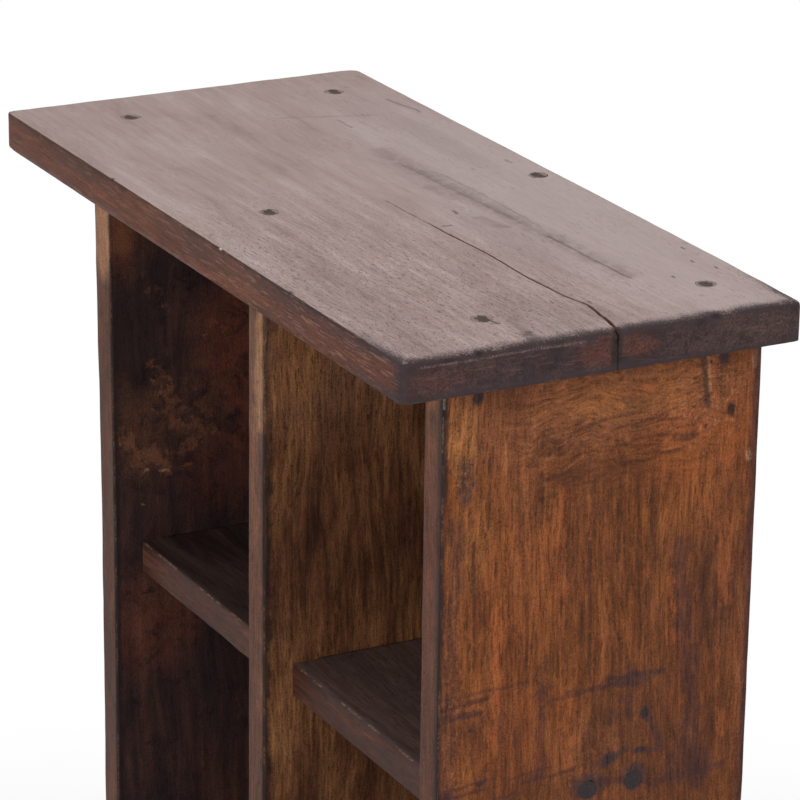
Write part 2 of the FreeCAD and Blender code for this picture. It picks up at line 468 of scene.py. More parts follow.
def shelf(node, name, material, seed):
    """A shelf with its front arrises rubbed by what was slid over them."""
    bm, low, high = gridded(node, "shelf", 0)

    def radius_at(point):
        return shelf_arris * (1 + 0.3 * rough(point, 11 * mm, seed) + 0.15 * rough(point, 3 * mm, seed))

    ease_arrises(bm, low, high, (1, 2), radius_at, keep=lambda point: point.y < low.y + 8 * mm)
    waver(bm, shelf_waves, seed)
    return finished(name, bm, [node], material)


def back(node, name, material, seed, nails):
    """A back board, bruised and stained where the nails went in."""
    bm, low, high = gridded(node, "back", 2)
    pit = bm.verts.layers.float["pit"]
    for nail_low, nail_high in solids_of(nails):
        centre = Vector(((nail_low.x + nail_high.x) / 2, high.y, (nail_low.z + nail_high.z) / 2))
        for reach in (12 * mm, 8 * mm):
            refine(bm, centre, reach)
        for vert in near_verts(bm, centre, 9 * mm):
            if abs(vert.co.y - high.y) > 1 * mm:
                continue
            gap = math.hypot(vert.co.x - centre.x, (vert.co.z - centre.z) * 0.6)
            share = 1 - smooth_share(gap, *bruise_reach)
            vert.co.y -= bruise_depth * share
            vert[pit] = max(vert[pit], share)
    waver(bm, back_waves, seed)
    return finished(name, bm, [node], material)


def filler_disc(low, high, axis, seed):
    """One disc of filler, nearly flush and uneven, that knows how near its rim each point is."""
    disc = bmesh.new()
    pit = disc.verts.layers.float.new("pit")
    radius = max(high - low) / 2
    outward = 1 if low[axis] > 0 else -1
    sizes = {"radius1": radius, "radius2": radius, "depth": high[axis] - low[axis]}
    bmesh.ops.create_cone(disc, cap_ends=True, segments=disc_sides, **sizes)
    caps = [face for face in disc.faces if len(face.verts) == disc_sides]
    for _ in range(4):
        bmesh.ops.inset_individual(disc, faces=caps, thickness=radius * 0.2)
    turned = Matrix.Rotation(math.radians(90), 3, "Y") if axis == 0 else Matrix.Identity(3)
    first, second = [other for other in range(3) if other != axis]
    for vert in disc.verts:
        vert[pit] = math.hypot(0.8 * vert.co.x, 1.25 * vert.co.y) / radius
        if vert.co.z * outward > 0:
            gap = math.hypot(vert.co.x, vert.co.y) / radius
            hollow = filler_hollow * (1 - gap * gap) + filler_lumps * (1 + rough(vert.co, 1.2 * mm, seed))
            vert.co.z += outward * (filler_hollow - hollow)
        vert.co = turned @ vert.co
        offset = Vector((vert.co[first], vert.co[second]))
        if offset.length > tiny:
            scale = hole_radius(0.997, math.atan2(offset.y, offset.x), seed)
            vert.co[first] *= scale
            vert.co[second] *= scale
        vert.co += (low + high) / 2
    return disc


def plugs(node, name, material, axis, first_seed, step):
    """The filler in the screw holes of one board; its seeds are those of the holes."""
    bm = bmesh.new()
    bm.verts.layers.float.new("pit")
    scratch = bpy.data.meshes.new("scratch")
    for number, (low, high) in enumerate(solids_of(node)):
        disc = filler_disc(low, high, axis, first_seed + number * step)
        disc.to_mesh(scratch)
        disc.free()
        bm.from_mesh(scratch)
    bpy.data.meshes.remove(scratch)
    return finished(name, bm, [node], material)


# Materials

def tone(red, green, blue):
    """A colour written as on a screen, 0 to 255, as the shader wants it."""
    shares = [value / 255 for value in (red, green, blue)]
    linear = [share / 12.92 if share <= 0.04045 else ((share + 0.055) / 1.055) ** 2.4 for share in shares]
    return (*linear, 1.0)


# What years have laid on the wood, and the paler wood where it is rubbed; a few pale dyes also paint
# highlights and a glint
dyes = {
    "char": (34, 25, 25), "soot": (42, 34, 36), "smoke": (54, 42, 43), "ink": (48, 38, 42),
    "wine": (62, 37, 36), "umber": (66, 37, 26), "ash": (88, 68, 62), "dusk": (118, 98, 94),
    "bloom": (184, 167, 166), "rust": (100, 54, 40), "tan": (112, 71, 50), "gold": (160, 104, 58),
    "ember": (158, 86, 46), "straw": (190, 146, 112), "chip": (222, 208, 198),
}


def dyed(colour):
    """What a shader takes, from the name of a dye, three numbers or another node's output."""
    colour = dyes[colour] if isinstance(colour, str) else colour
    return tone(*colour) if isinstance(colour, tuple) else colour


class Shading:
    """Adds nodes to one tree and feeds each input with a value or another node's output."""

    def __init__(self, tree):
        self.tree = tree

    def add(self, kind, feeds=None, **settings):
        made = self.tree.nodes.new("ShaderNode" + kind)
        for name, value in settings.items():
            setattr(made, name, value)
        for socket, value in (feeds or {}).items():
            self.feed(made.inputs[socket], value)
        return made

    def feed(self, socket, value):
        if isinstance(value, bpy.types.NodeSocket):
            self.tree.links.new(value, socket)
        else:
            socket.default_value = value

    def maths(self, operation, first, second=0.0, third=0.0, clamped=False):
        feeds = {0: first, 1: second, 2: third}
        return self.add("Math", feeds, operation=operation, use_clamp=clamped).outputs[0]

    def times(self, first, second):
        return self.maths("MULTIPLY", first, second)

    def swayed(self, value, cloud, reach):
        """A value that a cloud moves up and down."""
        return self.maths("MULTIPLY_ADD", self.maths("SUBTRACT", cloud, 0.5), reach, value)

    def mix(self, share, first, second):
        """A value between two others."""
        return self.add("Mix", {0: share, 2: first, 3: second}, data_type="FLOAT").outputs[0]

    def vectors(self, operation, first, second=(0.0, 0.0, 0.0)):
        made = self.add("VectorMath", {0: first, 1: second}, operation=operation)
        return made.outputs["Value" if operation in ("LENGTH", "DOT_PRODUCT") else "Vector"]

    def scaled(self, vector, scale):
        return self.add("VectorMath", {0: vector, "Scale": scale}, operation="SCALE").outputs["Vector"]

    def remap(self, value, low, high, to_low=0.0, to_high=1.0):
        feeds = {"Value": value, "From Min": low, "From Max": high, "To Min": to_low, "To Max": to_high}
        return self.add("MapRange", feeds, interpolation_type="SMOOTHSTEP").outputs["Result"]

    def cloud(self, vector, size, detail=2.0, roughness=0.5, distortion=0.0, stretch=None, output="Fac"):
        """Soft noise whose bumps have the given size; a small number in stretch draws them out that way."""
        if stretch:
            vector = self.vectors("MULTIPLY", vector, stretch)
        scale = 1 / size if isinstance(size, float) else self.maths("DIVIDE", 1.0, size)
        feeds = {"Vector": vector, "Scale": scale, "Detail": detail, "Roughness": roughness,
                 "Distortion": distortion}
        return self.add("TexNoise", feeds).outputs[output]

    def tones(self, value, colours, low=0.36, high=0.64):
        """Colours from dark to light, spread evenly over the usual reach of a noise."""
        made = self.add("ValToRGB", {"Fac": value})
        points = made.color_ramp.elements
        while len(points) < len(colours):
            points.new(0.5)
        for number, (point, colour) in enumerate(zip(points, colours)):
            point.position = low + (high - low) * number / (len(colours) - 1)
            point.color = tone(*colour)
        return made.outputs["Color"]

    def blend(self, share, first, second):
        """A colour between two others."""
        return self.add("Mix", {0: share, 6: dyed(first), 7: dyed(second)}, data_type="RGBA").outputs[2]

    def tint(self, colour, mask, dye, strength):
        """A colour under a dye that lies where the mask says so."""
        return self.blend(self.times(mask, strength), colour, dye)

    def place(self, turn=(0, 0, 0), shift=(0, 0, 0)):
        feeds = {"Vector": self.add("TexCoord").outputs["Object"], "Rotation": turn, "Location": shift}
        return self.add("Mapping", feeds).outputs["Vector"]

    def part(self, vector, axis):
        """One of the three numbers of a vector."""
        return self.add("SeparateXYZ", {0: vector}).outputs[axis]

    def facing(self, axis):
        """How much a point faces one way: a part of the object's own normal."""
        return self.part(self.add("TexCoord").outputs["Normal"], axis)

    def kept(self, name):
        """A value that the mesh keeps for each of its points."""
        return self.add("Attribute", attribute_name=name).outputs["Fac"]

    def group(self, name, **feeds):
        """What a node group gives; its inputs are named as in the group, with _ for a space."""
        named = {label.replace("_", " "): value for label, value in feeds.items()}
        return self.add("Group", named, node_tree=groups[name]).outputs


def new_group(name, inputs):
    """An empty node group, and what its inputs give inside it: numbers or vectors, as their defaults are."""
    tree = bpy.data.node_groups.new(name, "ShaderNodeTree")
    for label, default in inputs.items():
        kind = "NodeSocketFloat" if isinstance(default, float) else "NodeSocketVector"
        tree.interface.new_socket(name=label, in_out="INPUT", socket_type=kind).default_value = default
    return Shading(tree), tree.nodes.new("NodeGroupInput").outputs


def give(make, results):
    """Ends a node group with what it gives: numbers, or a vector where it is called so."""
    for label in results:
        kind = "NodeSocketVector" if label == "Vector" else "NodeSocketFloat"
        make.tree.interface.new_socket(name=label, in_out="OUTPUT", socket_type=kind)
    end = make.tree.nodes.new("NodeGroupOutput")
    for label, value in results.items():
        make.feed(end.inputs[label], value)
    return make.tree


def grain_group():
    """Wood with its grain along X: soft clouds, long streaks, fine fibres, short dark flecks and grit."""
    make, given = new_group("Wood grain", {"Vector": (0, 0, 0), "Wave": 0.004, "Streak Size": 0.0055})
    vector = given["Vector"]
    bend = make.maths("SUBTRACT", make.cloud(vector, 0.045, stretch=(0.3, 1, 1)), 0.5)
    sideways = make.times(bend, given["Wave"])
    sideways = make.add("CombineXYZ", {1: sideways, 2: sideways}).outputs[0]
    bent = make.vectors("ADD", vector, make.scaled(sideways, 6.0))
    fibres = make.cloud(bent, 0.0013, 3, 0.65, stretch=(0.09, 1, 1))
    flecks = make.remap(make.cloud(bent, 0.0009, 2, 0.6, stretch=(0.2, 1, 1)), 0.57, 0.68)
    return give(make, {
        "Broad": make.cloud(bent, 0.021, 4, 0.6, stretch=(0.32, 1, 1)),
        "Streaks": make.cloud(bent, given["Streak Size"], 4, 0.6, stretch=(0.08, 1, 1)),
        "Fibres": fibres, "Flecks": flecks,
        "Grit": make.cloud(vector, 0.0007, 2, 0.7),
        "Height": make.maths("SUBTRACT", fibres, flecks),
    })


def ragged_group():
    """Shifts places a little to and fro, so that what is drawn on them gets a ragged outline."""
    make, given = new_group("Ragged place", {"Vector": (0, 0, 0), "Coarse": 0.006, "Fine": 0.002})
    moved = given["Vector"]
    for size, reach in ((0.006, given["Coarse"]), (0.0011, given["Fine"])):
        shift = make.vectors("SUBTRACT", make.cloud(given["Vector"], size, output="Color"), (0.5, 0.5, 0.5))
        moved = make.vectors("ADD", moved, make.scaled(shift, reach))
    return give(make, {"Vector": moved})


def stain_group():
    """A soft patch round one point."""
    inputs = {"Vector": (0, 0, 0), "Centre": (0, 0, 0), "Reach": (0.01, 0.01, 0.01), "Strength": 1.0}
    make, given = new_group("Stain", inputs)
    offset = make.vectors("SUBTRACT", given["Vector"], given["Centre"])
    gap = make.vectors("LENGTH", make.vectors("DIVIDE", offset, given["Reach"]))
    return give(make, {"Mask": make.remap(gap, 1.3, 0.5, 0.0, given["Strength"])})


def stroke_group():
    """A soft line that starts at a point and runs some way along a direction."""
    inputs = {"Vector": (0, 0, 0), "From": (0, 0, 0), "Along": (1, 0, 0), "Length": 0.01, "Width": 0.001,
              "Strength": 1.0}
    make, given = new_group("Stroke", inputs)
    offset = make.vectors("SUBTRACT", given["Vector"], given["From"])
    share = make.vectors("DOT_PRODUCT", offset, given["Along"])
    share = make.maths("MINIMUM", make.maths("MAXIMUM", share, 0.0), given["Length"])
    gap = make.vectors("LENGTH", make.vectors("SUBTRACT", offset, make.scaled(given["Along"], share)))
    core = make.times(given["Width"], 0.25)
    return give(make, {"Mask": make.remap(gap, given["Width"], core, 0.0, given["Strength"])})


def arris_group():
    """How grimy a point is, and how much pale rub it gets, which is partly wear and partly a painted
    highlight, from its distance to the nearest arris in millimetres.
    """
    inputs = {"Vector": (0, 0, 0), "Gap": 10.0, "Grime Width": 2.0, "Rub Width": 1.0}
    make, given = new_group("Arris wear", inputs)
    rag = make.cloud(given["Vector"], 0.011, 3, 0.55)
    fine = make.cloud(given["Vector"], 0.0013, 3, 0.65)
    gap = make.swayed(given["Gap"], fine, make.times(given["Grime Width"], 2.0))
    grime_reach = make.times(given["Grime Width"], make.remap(rag, 0.3, 0.7, 0.35, 1.6))
    rub_and_highlight_reach = make.times(given["Rub Width"], make.remap(rag, 0.62, 0.4, 0.1, 1.2))
    rub_and_highlight = make.remap(make.maths("DIVIDE", given["Gap"], rub_and_highlight_reach), 1.0, 0.3)
    return give(make, {
        "Grime": make.remap(make.maths("DIVIDE", gap, grime_reach), 1.3, 0.1),
        "Rub": make.times(rub_and_highlight, make.remap(fine, 0.4, 0.6)),
    })


def new_material(name):
    """An empty material with its shader, and the means to build its nodes."""
    material = bpy.data.materials.new(name)
    material.use_nodes = True
    return material, Shading(material.node_tree), material.node_tree.nodes["Principled BSDF"]


def new_wood(name, shift, wave, streak_size, turn=(0, 0, 0)):
    """A new material as above, with places on the object and with its own piece of grain."""
    material, make, shader = new_material(name)
    grain = make.group("grain", Vector=make.place(turn, shift), Wave=wave, Streak_Size=streak_size)
    return material, make, shader, make.place(), grain


def finish(make, shader, colour, roughness, gloss, height, strength, depth):
    """Feeds a material's colour, roughness, gloss and fine relief to its shader."""
    make.feed(shader.inputs["Base Color"], colour)
    make.feed(shader.inputs["Roughness"], roughness)
    shader.inputs["Specular IOR Level"].default_value = gloss
    bump = make.add("Bump", {"Height": height, "Strength": strength, "Distance": depth})
    make.feed(shader.inputs["Normal"], bump.outputs[0])


def finish_wood(make, shader, colour, grain, roughness, gloss, depth):
    """Finishes wood: a little duller where its streaks are pale, with its fibres as relief."""
    roughness = make.remap(grain["Streaks"], 0.35, 0.65, *roughness)
    finish(make, shader, colour, roughness, gloss, grain["Height"], strength=0.5, depth=depth)


# Stains, scratches and other marks that years have left, with some broad darker patches and a few painted
# highlights and a painted glint, in millimetres on their face. A patch has a dye, a strength, a centre and
# how far it reaches both ways; a line has a dye, a strength, a width and the points that it runs through.

# On the top: its upper face, its right end and its front
top_clouds = [
    ("bloom", 0.6, (40, 66), (190, 52)), ("dusk", 0.3, (150, -14), (30, 20)),
    ("dusk", 0.22, (70, 22), (46, 10)), ("dusk", 0.2, (-60, 62), (50, 8)),
    ("dusk", 0.25, (120, -66), (70, 14)), ("dusk", 0.3, (163, 8), (14, 5)),
]
top_strokes = [
    ("dusk", 0.45, 8.0, [(-60, 33), (30, 36), (96, 39), (126, 40)]),
    ("ash", 0.22, 3.0, [(-41, 33), (29, 36), (80, 38)]), ("dusk", 0.4, 4.0, [(-6, 27), (12, 28)]),
    ("dusk", 0.45, 3.5, [(40, 25), (54, 28)]), ("dusk", 0.3, 1.6, [(-123, 16), (-110, 57)]),
    ("ash", 0.35, 3.0, [(154, -24.6), (170, -26.4)]), ("soot", 0.8, 4.0, [(170, -26.4), (181, -27.8)]),
]
top_lines = [
    ("ash", 0.3, 1.1, [(-41, 32), (-7, 33), (29, 35.5), (52, 36.5)]),
    ("ash", 0.55, 1.0, [(72, 37.4), (95, 38), (127, 39), (131, 39.6)]),
    ("ash", 0.25, 0.9, [(-20, 40), (22, 41.5), (60, 41)]),
    ("ash", 0.4, 1.0, [(-109.5, 38.3), (-96.5, 38.2)]),
    ("ash", 0.45, 1.3, [(-130, 72.2), (-120, 73.5), (-110.5, 76), (-106, 75.4)]),
    ("ash", 0.45, 1.2, [(-27, 73.2), (-22, 73.4)]), ("soot", 0.6, 1.2, [(27, 20.4), (31, 19.8)]),
    ("soot", 0.6, 1.1, [(43.2, 7), (43.6, 10.4)]), ("soot", 0.6, 0.9, [(106, 76.8), (108, 76.7)]),
    ("soot", 0.6, 0.9, [(122, 71), (124, 70.9)]), ("soot", 0.6, 1.0, [(135, 54.8), (137, 54.6)]),
    ("soot", 0.6, 0.9, [(132, 75.2), (134, 75.1)]), ("soot", 0.5, 0.9, [(142, -1.4), (144, -1.6)]),
    ("soot", 0.5, 0.9, [(148, 11), (150, 10.8)]), ("soot", 0.4, 1.0, [(14.4, -79), (15.6, -79)]),
    ("soot", 0.4, 1.0, [(43.4, -69), (44.6, -69)]), ("soot", 0.7, 1.4, [(150, -32.0), (156, -31.0)]),
    ("char", 0.75, 0.75, [(181, 5), (166, 7.0), (152, 8.6), (138, 6.6), (113, 5.2)]),
    ("char", 0.55, 0.65, [(113, 5.2), (82, 5.7), (49, 4.1), (15, 2.8), (3, 2.5)]),
    ("char", 0.9, 2.2, [(178.5, 5), (182, 5)]),
]
end_clouds = [
    ("rust", 0.5, (-3, 1042), (9, 6)), ("rust", 0.55, (12, 1043), (10, 5)),
    ("rust", 0.3, (-70, 1041), (16, 6)), ("ash", 0.4, (58, 1041), (34, 8)),
    ("ash", 0.2, (-66, 1042), (18, 6)), ("soot", 0.55, (-32, 1041), (14, 9)),
]
end_lines = [
    ("char", 0.95, 3.6, [(4.8, 1052), (4.6, 1045), (4.2, 1040), (4.4, 1034)]),
    # The dusk line at z 1047.3, along the rounded upper rim, is a painted highlight.
    ("wine", 0.75, 1.8, [(-28, 1045), (-28, 1038)]), ("dusk", 0.45, 0.7, [(-76, 1047.3), (-8, 1047.3)]),
    ("rust", 0.6, 1.0, [(-5, 1047.6), (2, 1048.4)]), ("soot", 0.6, 1.6, [(-83, 1033.8), (83, 1033.8)]),
    ("dusk", 0.5, 0.6, [(-82, 1034.3), (34, 1034.3)]),
]
front_strokes = [
    ("soot", 0.8, 2.6, [(-40, 1051), (60, 1050.2), (120, 1049.6), (181, 1049)]),
    ("soot", 0.6, 1.8, [(-181, 1050), (-40, 1050.2)]), ("umber", 0.7, 3.0, [(-181, 1050), (40, 1049.6)]),
    ("soot", 0.6, 3.4, [(178, 1050), (178, 1034)]), ("dusk", 0.3, 2.0, [(-178, 1034.6), (20, 1034.6)]),
    ("umber", 0.5, 2.0, [(20, 1034.5), (181, 1034.5)]), ("umber", 0.25, 5.0, [(-20, 1041), (40, 1041)]),
    ("rust", 0.4, 5.0, [(96, 1042), (170, 1042)]), ("wine", 0.4, 4.0, [(60, 1046), (150, 1045)]),
]
# A painted glint: a pale fleck on the front's upper rim over the knock at x 33 mm.
front_painted_glint = [("chip", 0.9, 1.0, [(31.6, 1049.9), (32.6, 1049.9)])]

# On the right side's outer face
right_clouds = [
    # These broad umber patches make the face darker towards its lower part and towards its rear.
    ("umber", 0.3, (52, 892), (40, 56)), ("umber", 0.25, (20, 950), (60, 12)),
    ("umber", 0.3, (10, 850), (70, 26)), ("umber", 0.4, (26, 880), (26, 22)),
    ("umber", 0.55, (68, 934), (12, 30)), ("umber", 0.3, (4, 984), (36, 22)),
    ("dusk", 0.08, (0, 1012), (90, 18)), ("ember", 0.3, (58, 1000), (26, 30)),
    ("ember", 0.2, (-20, 945), (22, 26)), ("ember", 0.2, (-20, 888), (16, 22)),
    ("gold", 0.5, (-44.5, 1007), (7, 19)), ("gold", 0.25, (-40, 965), (9, 20)),
    ("gold", 0.25, (30, 1014), (40, 10)), ("ink", 0.7, (-42.5, 991), (4, 10)),
    ("umber", 0.45, (-9, 1000), (6, 6)), ("umber", 0.35, (12, 986), (22, 6)),
    ("umber", 0.5, (-1, 952), (5, 12)), ("umber", 0.5, (-8, 905), (4, 12)),
    ("umber", 0.5, (13, 875), (3, 13)), ("ink", 0.45, (33, 899), (14, 3)),
    ("wine", 0.5, (56, 858), (12, 9)), ("wine", 0.4, (22.8, 884.8), (3, 4)),
    ("ink", 0.75, (13, 858), (8, 6)), ("ink", 0.65, (32.4, 859), (6, 6)),
]
right_spots = [
    ("soot", 0.9, (-38.5, 1023), (3.0, 3.4)), ("umber", 0.9, (-8, 996), (1.1, 1.2)),
    ("soot", 0.9, (66, 1024), (2.2, 4.6)), ("char", 0.85, (70, 1002), (2.0, 2.8)),
    ("soot", 0.8, (59, 997), (0.8, 0.8)), ("soot", 0.9, (60.5, 1021.6), (1.0, 1.0)),
    ("umber", 0.6, (51, 993), (5, 1.6)), ("straw", 0.4, (79, 982), (1.6, 3)),
    ("straw", 0.3, (79.5, 1020), (1.4, 4)), ("soot", 0.8, (37, 884), (2.2, 2.8)),
    ("soot", 0.75, (35, 868.7), (3, 1.6)), ("ink", 0.8, (21.4, 868), (4, 3)),
    ("wine", 0.55, (-36.7, 903), (6, 1.3)), ("wine", 0.6, (-40, 898), (7, 1.4)),
    ("wine", 0.55, (-49, 898), (2.5, 2.0)), ("soot", 0.8, (-39, 891), (1.1, 1.1)),
    ("ink", 0.8, (-34.3, 868.6), (2, 1.6)), ("wine", 0.8, (-49, 866), (4, 2)),
]
right_strokes = [
    ("ember", 0.35, 3.0, [(18, 1015), (36, 1014)]), ("ember", 0.35, 4.0, [(68.5, 996), (69, 982)]),
    ("ember", 0.35, 4.5, [(69.7, 957), (71, 924)]),
    ("ember", 0.4, 3.4, [(-28.6, 940), (-27.5, 902), (-28, 880)]),
    ("ember", 0.35, 3.0, [(46, 941), (47.7, 912)]), ("ember", 0.35, 3.0, [(71, 878), (71.6, 868.5)]),
    ("ember", 0.3, 3.6, [(3, 900), (3.4, 869.6)]), ("ember", 0.3, 4.4, [(-3, 980), (-2, 940)]),
    ("wine", 0.55, 5.0, [(-46, 973), (-45, 953), (-48.2, 944), (-48.3, 905), (-49, 850)]),
    ("wine", 0.6, 6.0, [(50, 950), (52, 934), (53, 915), (56, 900), (58, 880), (60.5, 850)]),
    ("wine", 0.45, 3.6, [(29, 904), (29.8, 884.5)]), ("wine", 0.35, 4.4, [(53.2, 878), (53.6, 867)]),
    ("umber", 0.5, 3.0, [(66, 883), (66.5, 866)]),
    ("wine", 0.5, 3.0, [(-8.6, 904), (-8, 881), (-9.5, 866)]),
    ("umber", 0.4, 4.0, [(66, 1022), (66.5, 1008)]), ("umber", 0.45, 3.0, [(10.8, 982), (11, 962)]),
    ("umber", 0.3, 3.0, [(-20, 1030), (-21, 990), (-19, 960)]),
    ("umber", 0.35, 2.4, [(38, 975), (37, 930)]),
]
right_lines = [
    ("umber", 0.6, 1.5, [(-9, 985.7), (1, 988)]), ("umber", 0.5, 1.4, [(-11, 979), (-5, 979.6)]),
    ("umber", 0.6, 1.9, [(-11, 988), (-11, 978.6)]),
    ("soot", 0.7, 2.1, [(57, 1026), (58, 1015), (59.5, 1005)]),
    # The thin straw line beside the dark scar above is a painted highlight on the scar's edge.
    ("straw", 0.2, 1.3, [(59.2, 1024), (60.6, 1010)]),
    ("umber", 0.55, 1.2, [(16, 993.6), (28, 995.6), (39, 996), (56, 994)]),
    ("umber", 0.45, 1.1, [(2, 1003), (16, 1006), (30, 1006.6)]),
    ("umber", 0.4, 1.0, [(18, 1001), (34, 1003), (50, 1001)]),
    ("umber", 0.4, 1.2, [(36, 989.6), (48, 989)]), ("umber", 0.7, 1.2, [(-38.7, 966), (-37.7, 916)]),
    ("umber", 0.7, 1.3, [(10.5, 958), (12, 902)]), ("umber", 0.6, 1.2, [(7.6, 935), (8.2, 917)]),
    ("umber", 0.5, 1.1, [(-33, 1000), (-32.6, 972)]), ("umber", 0.5, 1.1, [(-16, 942), (-15.4, 912)]),
    ("umber", 0.5, 1.1, [(22, 972), (22.8, 940)]), ("umber", 0.45, 1.2, [(1, 936), (1.6, 908)]),
    ("wine", 0.6, 2.0, [(3, 898.4), (24, 898.1), (33, 897)]),
    ("wine", 0.45, 1.2, [(-6, 896.6), (8, 897.4)]), ("ink", 0.5, 1.6, [(20, 901), (44, 900)]),
    ("ink", 0.5, 2.4, [(37, 884.6), (40, 879), (43.6, 871.6), (44.5, 868), (35, 868.7)]),
    ("ink", 0.5, 2.0, [(30, 870.5), (23, 868.5), (18.6, 865)]),
    ("wine", 0.6, 2.6, [(14, 859), (27, 857.8), (42, 853.6), (62, 855), (72, 855.2)]),
    ("wine", 0.45, 2.0, [(-26, 895), (-26, 884)]), ("umber", 0.6, 1.4, [(-19.6, 888), (-19.4, 881)]),
    ("wine", 0.6, 1.3, [(-53, 901.4), (-32, 902.6)]), ("wine", 0.45, 1.1, [(-53, 905.6), (-15, 906.4)]),
    ("wine", 0.6, 1.3, [(-47, 896.8), (-35, 897.4)]), ("wine", 0.6, 1.1, [(-50, 868.2), (-28, 869.6)]),
    ("wine", 0.6, 1.1, [(-50, 865), (-31, 866)]), ("wine", 0.6, 1.3, [(-16, 864.8), (8, 866.8)]),
    ("wine", 0.45, 1.1, [(-22, 868), (-4, 869.4)]), ("wine", 0.5, 1.1, [(-28, 861), (-15, 861.6)]),
    ("umber", 0.7, 1.6, [(-51, 1028), (-51.2, 985)]),
]
right_dust = [
    ("straw", 0.3, (58, 1006), (20, 20)), ("gold", 0.5, (-44, 1004), (7, 24)),
    ("gold", 0.25, (10, 1006), (34, 18)), ("gold", 0.3, (-47, 900), (6, 60)),
    ("gold", 0.15, (0, 940), (60, 40)),
]

# On the left side's inner face
left_clouds = [
    ("rust", 0.65, (6, 948), (20, 34)), ("rust", 0.5, (-35, 822), (24, 26)),
    ("rust", 0.85, (-46, 1012), (8, 34)), ("tan", 0.18, (-32, 1010), (16, 18)),
    ("char", 0.5, (-42, 955), (12, 34)), ("char", 0.3, (-22, 984), (22, 18)),
    ("rust", 0.35, (0, 890), (22, 20)), ("tan", 0.25, (-38, 912), (18, 20)),
]
left_mottles = [
    ("tan", 0.8, 5.0, [(-34, 940), (-28, 928), (-20, 919)]),
    ("tan", 0.65, 4.0, [(-30, 922), (-22, 912), (-12, 910)]),
    ("tan", 0.8, 5.0, [(-49, 912), (-44, 904), (-28, 897)]),
    ("tan", 0.6, 4.0, [(-20, 900), (-10, 906), (-3, 905)]), ("tan", 0.7, 3.0, [(-40, 896), (-27, 892.5)]),
    ("tan", 0.4, 3.0, [(-34, 974), (-24, 965)]), ("tan", 0.35, 2.4, [(-20, 996), (-14, 984)]),
    ("tan", 0.4, 3.0, [(-14, 928), (-8, 916)]), ("tan", 0.45, 2.0, [(-10, 956), (0, 953)]),
    ("tan", 0.4, 1.6, [(-8, 940), (2, 942)]), ("rust", 0.6, 9.0, [(8, 962), (8, 900)]),
]
left_specks = [
    ("straw", 0.32, (-36.6, 893.5), (1.4, 0.7)), ("straw", 0.36, (-28.5, 892.4), (2.0, 0.7)),
    ("straw", 0.2, (-49.0, 907), (0.6, 0.8)), ("straw", 0.25, (-39, 878), (1.2, 0.6)),
    ("gold", 0.22, (-17.5, 893), (2.4, 0.8)), ("straw", 0.15, (-9, 951), (1.8, 0.5)),
]


def on_face(axis, level):
    """Gives places on a flat face, square to an axis, from two numbers in millimetres."""
    def place(first, second, third=None):
        spot = [first * mm, second * mm]
        spot.insert(axis, level if third is None else third * mm)
        return tuple(spot)
    return place


def ragged(make, place, coarse, fine):
    """Places with a ragged shift; both numbers are in millimetres."""
    return make.group("ragged", Vector=place, Coarse=coarse * mm, Fine=fine * mm)["Vector"]


def patch_mask(make, place, at, strength, centre, reach):
    """The mask of one soft patch."""
    centre, reach = at(*centre), at(*reach, third=6)
    return make.group("stain", Vector=place, Centre=centre, Reach=reach, Strength=strength)["Mask"]


def line_mask(make, place, at, strength, width, points):
    """The mask of one soft line, the strongest of its straight stretches."""
    mask = None
    for start, end in zip(points, points[1:]):
        start, end = Vector(at(*start)), Vector(at(*end))
        drawn = make.group("stroke", Vector=place, From=start, Along=(end - start).normalized(),
                           Length=(end - start).length, Width=width * mm, Strength=strength)["Mask"]
        mask = make.maths("MAXIMUM", mask, drawn) if mask else drawn
    return mask


def paint(make, colour, *layers):
    """Paints marks over a colour. Each layer has places, a face, a mask that holds for all, and marks."""
    for place, at, where, marks in layers:
        for dye, *mark in marks:
            kind = patch_mask if isinstance(mark[1], tuple) else line_mask
            colour = make.tint(colour, kind(make, place, at, *mark), dye, where)
    return colour


def top_marks(make, colour, place, faces, patchy):
    """The marks on the top's upper face, its right end and its front."""
    torn, even = ragged(make, place, 4.0, 1.8), ragged(make, place, 1.6, 0.7)
    upper, end, front = on_face(2, cad_high.z), on_face(0, cad_high.x), on_face(1, cad_low.y)
    on_top, on_end, on_front = faces
    return paint(
        make, colour,
        (torn, upper, on_top, top_clouds), (torn, upper, make.times(on_top, patchy), top_strokes),
        (even, upper, on_top, top_lines), (torn, end, make.times(on_end, patchy), end_clouds),
        (even, end, 1.0, end_lines),
        # The front carries its strokes and a painted glint.
        (torn, front, on_front, front_strokes), (place, front, 1.0, front_painted_glint),
    )


